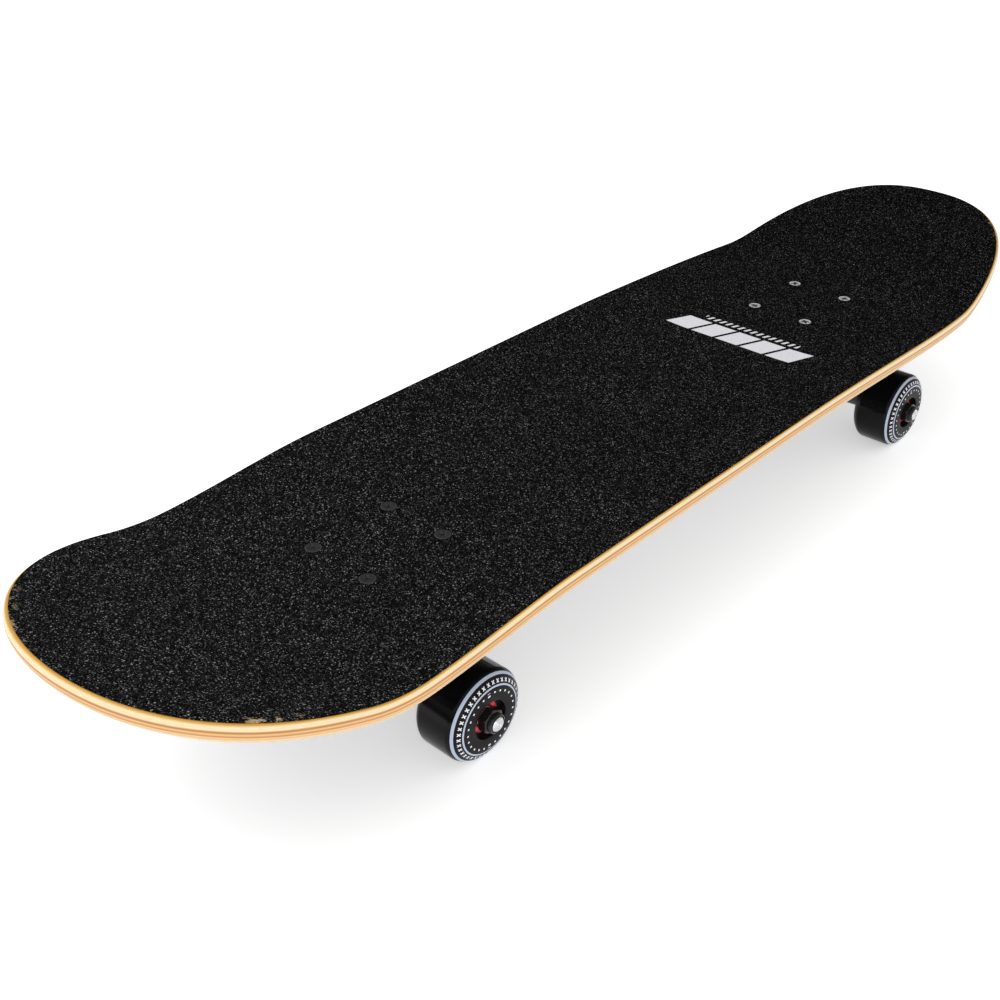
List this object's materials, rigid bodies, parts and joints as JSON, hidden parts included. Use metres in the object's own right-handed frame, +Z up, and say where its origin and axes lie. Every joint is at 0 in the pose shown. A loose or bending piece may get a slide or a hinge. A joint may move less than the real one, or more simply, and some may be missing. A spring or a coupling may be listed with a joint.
{
  "type": "skateboard",
  "caption": "Popsicle skateboard: pressed maple deck with black grip tape, sprung kingpin trucks and black printed urethane wheels on ball bearings.",
  "frame": {"origin": "middle of the object's box, on the ground under the wheels", "axes": "+X towards the nose, +Y to the left, +Z up"},
  "size_m": [0.808, 0.2064, 0.1223],
  "materials": {
    "maple": "lacquered seven-ply hard maple, layered rounded edge",
    "grip": "black grit sheet with fine sparkle",
    "bolt_bright": "zinc-plated cross-head bolt",
    "bolt_black": "black oxide cross-head bolt",
    "nut_steel": "zinc-plated lock nut",
    "truck_cast": "satin black coated cast aluminium",
    "cup_urethane": "moulded black urethane",
    "kingpin_steel": "plated steel bolt",
    "washer_steel": "pressed and plated steel",
    "bushing_urethane": "moulded black urethane",
    "axle_steel": "turned steel",
    "nut_black": "black oxide lock nut",
    "bearing_steel": "ground bearing steel",
    "shield_red": "glossy red bearing shield",
    "cage_nylon": "moulded nylon cage",
    "wheel_urethane": "glossy black cast urethane with a pale printed side"
  },
  "bodies": {
    "board": {"deck": "maple", "grip_tape": "grip", "deck_bolts_nose": "bolt_bright", "deck_nuts_nose": "nut_steel", "deck_bolts_tail": "bolt_black", "deck_nuts_tail": "nut_steel", "baseplate_nose": "truck_cast", "pivot_cup_nose": "cup_urethane", "kingpin_nose": "kingpin_steel", "kingpin_nut_nose": "nut_steel", "washer_large_nose": "washer_steel", "washer_small_nose": "washer_steel", "bushing_board_nose": "bushing_urethane", "bushing_road_nose": "bushing_urethane", "baseplate_tail": "truck_cast", "pivot_cup_tail": "cup_urethane", "kingpin_tail": "kingpin_steel", "kingpin_nut_tail": "nut_steel", "washer_large_tail": "washer_steel", "washer_small_tail": "washer_steel", "bushing_board_tail": "bushing_urethane", "bushing_road_tail": "bushing_urethane"},
    "hanger_body_nose": {"hanger_nose": "truck_cast", "axle_nose": "axle_steel", "axle_nuts_nose": "nut_black", "speed_washers_nose": "washer_steel", "bearing_spacers_nose": "axle_steel", "inner_rings_nose": "bearing_steel"},
    "hanger_body_tail": {"hanger_tail": "truck_cast", "axle_tail": "axle_steel", "axle_nuts_tail": "nut_black", "speed_washers_tail": "washer_steel", "bearing_spacers_tail": "axle_steel", "inner_rings_tail": "bearing_steel"},
    "wheel_body_nose_left": {"wheel_nose_left": "wheel_urethane", "outer_rings_nose_left": "bearing_steel", "shields_nose_left": "shield_red"},
    "cage_body_nose_left": {"balls_nose_left": "bearing_steel", "cages_nose_left": "cage_nylon"},
    "wheel_body_nose_right": {"wheel_nose_right": "wheel_urethane", "outer_rings_nose_right": "bearing_steel", "shields_nose_right": "shield_red"},
    "cage_body_nose_right": {"balls_nose_right": "bearing_steel", "cages_nose_right": "cage_nylon"},
    "wheel_body_tail_left": {"wheel_tail_left": "wheel_urethane", "outer_rings_tail_left": "bearing_steel", "shields_tail_left": "shield_red"},
    "cage_body_tail_left": {"balls_tail_left": "bearing_steel", "cages_tail_left": "cage_nylon"},
    "wheel_body_tail_right": {"wheel_tail_right": "wheel_urethane", "outer_rings_tail_right": "bearing_steel", "shields_tail_right": "shield_red"},
    "cage_body_tail_right": {"balls_tail_right": "bearing_steel", "cages_tail_right": "cage_nylon"}
  },
  "joints": [
    {"name": "steer_nose", "type": "hinge", "parent": "board", "child": "hanger_body_nose", "pos_m": [0.23636, 0, 0.0655], "axis": [0.866, 0, 0.5], "range_deg": [-13, 13], "stiffness_Nm_per_rad": 40, "deforming": ["bushing_board_nose", "bushing_road_nose"]},
    {"name": "steer_tail", "type": "hinge", "parent": "board", "child": "hanger_body_tail", "pos_m": [-0.24157, 0, 0.0655], "axis": [0.866, 0, -0.5], "range_deg": [-13, 13], "stiffness_Nm_per_rad": 40, "deforming": ["bushing_board_tail", "bushing_road_tail"]},
    {"name": "spin_nose_left", "type": "hinge", "parent": "hanger_body_nose", "child": "wheel_body_nose_left", "pos_m": [0.21707, 0.0743, 0.0265], "axis": [0, 1, 0], "continuous": true},
    {"name": "cage_spin_nose_left", "type": "hinge", "parent": "hanger_body_nose", "child": "cage_body_nose_left", "pos_m": [0.21707, 0.0743, 0.0265], "axis": [0, 1, 0], "continuous": true},
    {"name": "spin_nose_right", "type": "hinge", "parent": "hanger_body_nose", "child": "wheel_body_nose_right", "pos_m": [0.21707, -0.0743, 0.0265], "axis": [0, 1, 0], "continuous": true},
    {"name": "cage_spin_nose_right", "type": "hinge", "parent": "hanger_body_nose", "child": "cage_body_nose_right", "pos_m": [0.21707, -0.0743, 0.0265], "axis": [0, 1, 0], "continuous": true},
    {"name": "spin_tail_left", "type": "hinge", "parent": "hanger_body_tail", "child": "wheel_body_tail_left", "pos_m": [-0.22226, 0.0743, 0.0265], "axis": [0, 1, 0], "continuous": true},
    {"name": "cage_spin_tail_left", "type": "hinge", "parent": "hanger_body_tail", "child": "cage_body_tail_left", "pos_m": [-0.22226, 0.0743, 0.0265], "axis": [0, 1, 0], "continuous": true},
    {"name": "spin_tail_right", "type": "hinge", "parent": "hanger_body_tail", "child": "wheel_body_tail_right", "pos_m": [-0.22226, -0.0743, 0.0265], "axis": [0, 1, 0], "continuous": true},
    {"name": "cage_spin_tail_right", "type": "hinge", "parent": "hanger_body_tail", "child": "cage_body_tail_right", "pos_m": [-0.22226, -0.0743, 0.0265], "axis": [0, 1, 0], "continuous": true}
  ],
  "couplings": [
    {"joint": "cage_spin_nose_left", "follows": "spin_nose_left", "ratio": 0.63},
    {"joint": "cage_spin_nose_right", "follows": "spin_nose_right", "ratio": 0.63},
    {"joint": "cage_spin_tail_left", "follows": "spin_tail_left", "ratio": 0.63},
    {"joint": "cage_spin_tail_right", "follows": "spin_tail_right", "ratio": 0.63}
  ]
}
